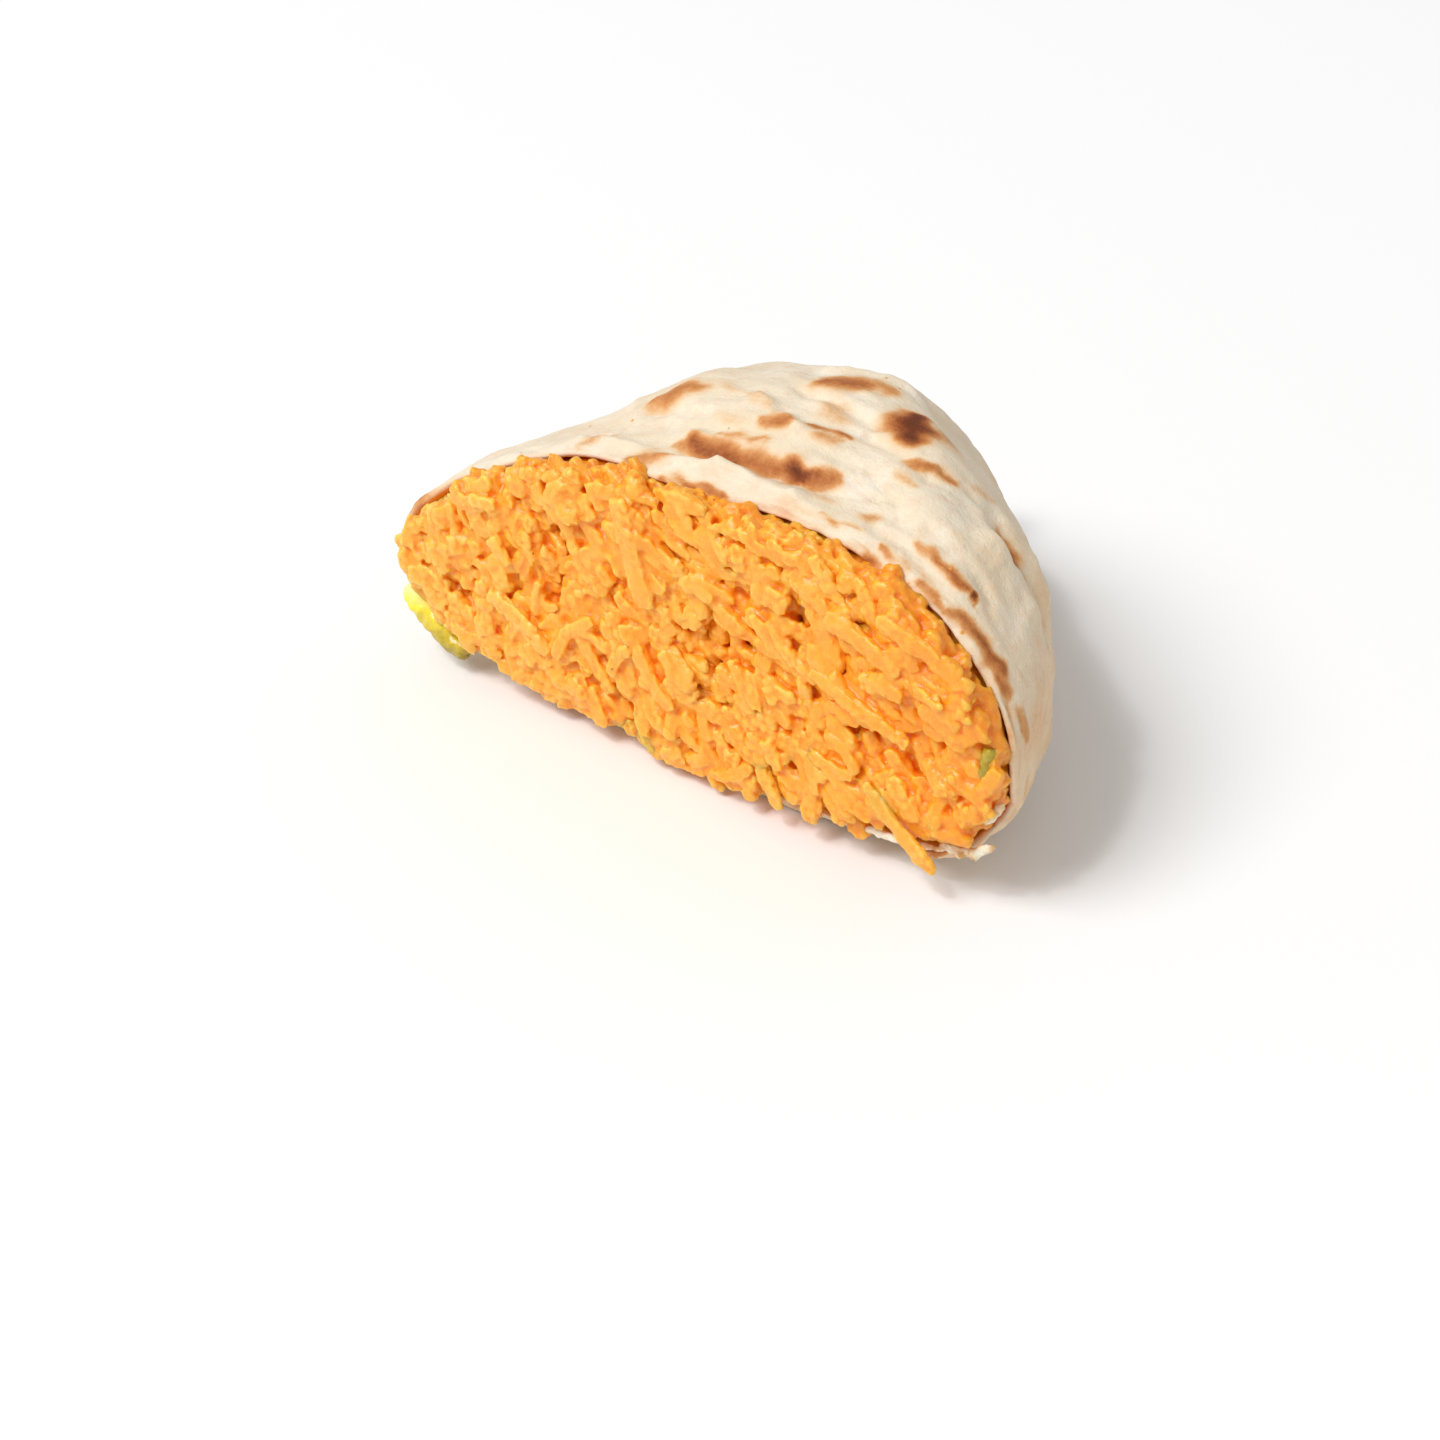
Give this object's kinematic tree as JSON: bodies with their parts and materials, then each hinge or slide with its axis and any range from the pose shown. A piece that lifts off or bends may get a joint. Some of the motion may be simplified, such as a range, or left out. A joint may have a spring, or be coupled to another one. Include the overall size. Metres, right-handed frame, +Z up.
{
  "type": "cheese sandwich half",
  "caption": "Cut end of a boat-shaped flatbread sandwich: a thin blistered crust pinched to a tail, its open cut packed full of grated orange cheese.",
  "frame": {"origin": "bottom centre of the bounding box, on the surface the sandwich rests on", "axes": "X along the cut, +Y from the cut back to the pinched tail, +Z up; the cut faces -Y"},
  "size_m": [0.1318, 0.0976, 0.0642],
  "materials": {
    "bread": "baked flatbread, matt cream with brown scorch marks",
    "cheese": "grated orange cheddar, slightly oily",
    "pepper": "wet yellow pickled pepper"
  },
  "bodies": {
    "root": {"flatbread": "bread", "grated_cheese": "cheese", "pepper_scrap_left": "pepper", "pepper_scrap_right": "pepper"}
  },
  "joints": []
}
